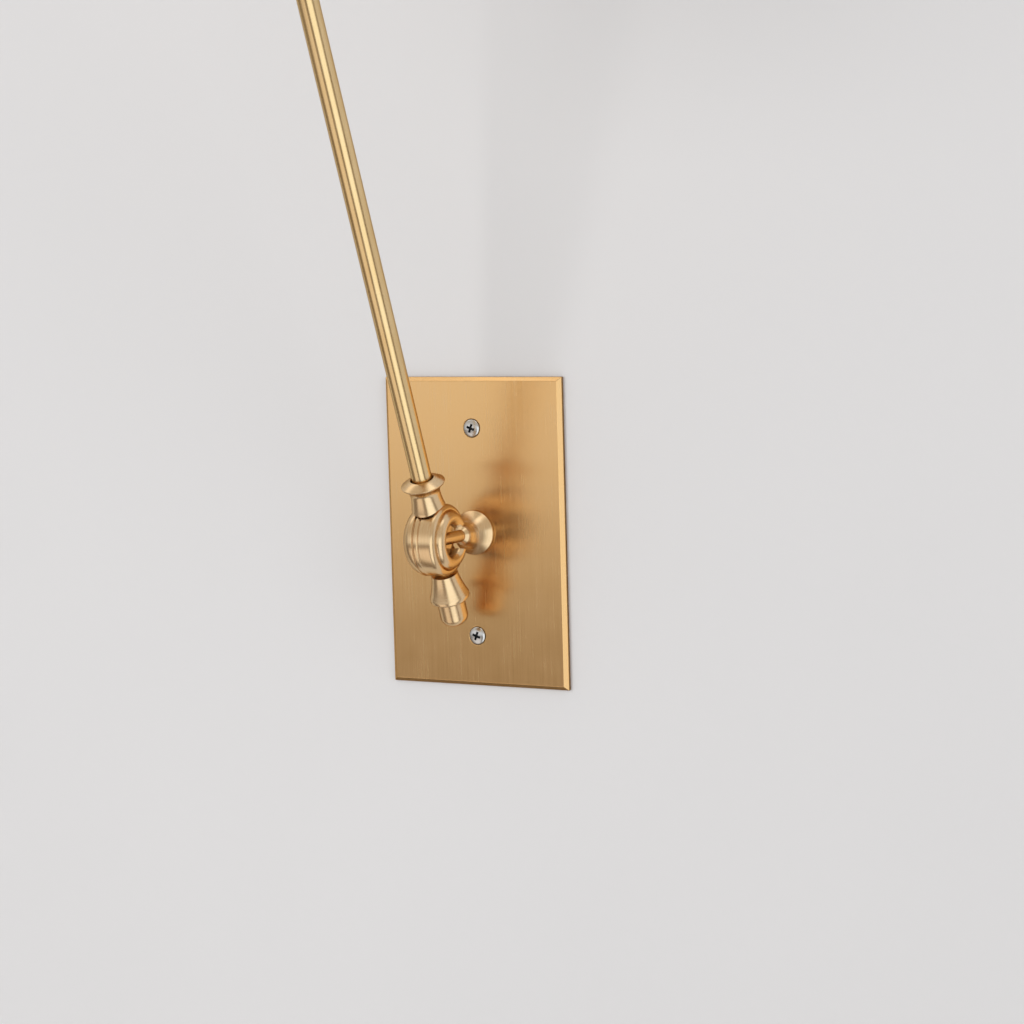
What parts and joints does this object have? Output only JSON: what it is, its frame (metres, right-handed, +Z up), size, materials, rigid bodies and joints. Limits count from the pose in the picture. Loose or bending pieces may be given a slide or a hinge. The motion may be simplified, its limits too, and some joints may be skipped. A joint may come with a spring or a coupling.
{
  "type": "swing arm wall sconce",
  "caption": "Brass wall sconce: a flat plate carries a swivelling stub, a clamped knuckle and a slim tube arm with a tilting lamp head.",
  "frame": {"origin": "centre of the wall plate's back face, on the wall over the wall box", "axes": "+X right seen from the room, +Y into the wall, +Z up"},
  "size_m": [0.1424, 0.3805, 0.4875],
  "materials": {
    "plate_brass": "satin, brushed up and down, clear lacquer",
    "fitting_brass": "turned satin, clear lacquer",
    "tube_brass": "drawn tube, brushed along its length, clear lacquer",
    "shade_brass": "spun satin outside, white inside",
    "raw_brass": "machined, bare",
    "screw_steel": "nickel plated",
    "plain_steel": "zinc plated",
    "green_screw": "green dyed, glossy",
    "brake_fibre": "pressed fibre, matt",
    "wire_sheath": "smooth sheath, matt",
    "porcelain": "glazed",
    "shell_aluminium": "pressed sheet, plain",
    "black_glass": "fused insulator, glossy",
    "frosted_glass": "frosted inside"
  },
  "bodies": {
    "wall_mount": {"wall_plate": "plate_brass", "upper_screw": "screw_steel", "lower_screw": "screw_steel", "wall_bell": "fitting_brass", "threaded_nipple": "raw_brass", "lock_washer": "plain_steel", "nipple_nut": "raw_brass", "ground_screw": "green_screw"},
    "swivel": {"swivel_stub": "fitting_brass", "swivel_washer": "plain_steel", "swivel_nut": "raw_brass", "swivel_wire": "wire_sheath"},
    "arm": {"lower_drum": "fitting_brass", "lower_cap": "fitting_brass", "lower_pivot_pin": "plain_steel", "lower_spring_washer": "plain_steel", "lower_brake_pad": "brake_fibre", "lower_collar": "fitting_brass", "arm_tube": "tube_brass", "arm_wire": "wire_sheath", "upper_collar": "fitting_brass", "upper_drum": "fitting_brass", "upper_cap": "fitting_brass", "upper_pivot_pin": "plain_steel", "upper_spring_washer": "plain_steel", "upper_brake_pad": "brake_fibre"},
    "lower_thumb": {"lower_thumb_screw": "fitting_brass"},
    "upper_thumb": {"upper_thumb_screw": "fitting_brass"},
    "head": {"head_stub": "fitting_brass", "head_bell": "fitting_brass", "head_nipple": "raw_brass", "socket_cup": "shade_brass", "head_nut": "raw_brass", "head_wire": "wire_sheath", "lampholder": "porcelain", "screw_shell": "shell_aluminium", "centre_contact": "raw_brass", "shade": "shade_brass", "shade_ring": "shade_brass", "bulb_base": "shell_aluminium", "bulb_insulator": "black_glass", "bulb_tip": "shell_aluminium", "bulb_glass": "frosted_glass"}
  },
  "joints": [
    {"name": "stub_swivel", "type": "hinge", "parent": "wall_mount", "child": "swivel", "pos_m": [0, 0, 0], "axis": [0, 1, 0], "range_deg": [-85, 85]},
    {"name": "arm_tilt", "type": "hinge", "parent": "swivel", "child": "arm", "pos_m": [-0.0025, -0.0297, 0], "axis": [1, 0, 0], "range_deg": [-21, 11]},
    {"name": "lower_thumb_turn", "type": "hinge", "parent": "arm", "child": "lower_thumb", "pos_m": [-0.0025, -0.0297, 0], "axis": [0, 0.3723, -0.9281], "range_deg": [0, 270]},
    {"name": "head_tilt", "type": "hinge", "parent": "arm", "child": "head", "pos_m": [-0.0025, -0.18608, 0.3898], "axis": [-1, 0, 0], "range_deg": [-20, 35]},
    {"name": "upper_thumb_turn", "type": "hinge", "parent": "arm", "child": "upper_thumb", "pos_m": [-0.0025, -0.18608, 0.3898], "axis": [0, -0.3723, 0.9281], "range_deg": [0, 270]}
  ]
}
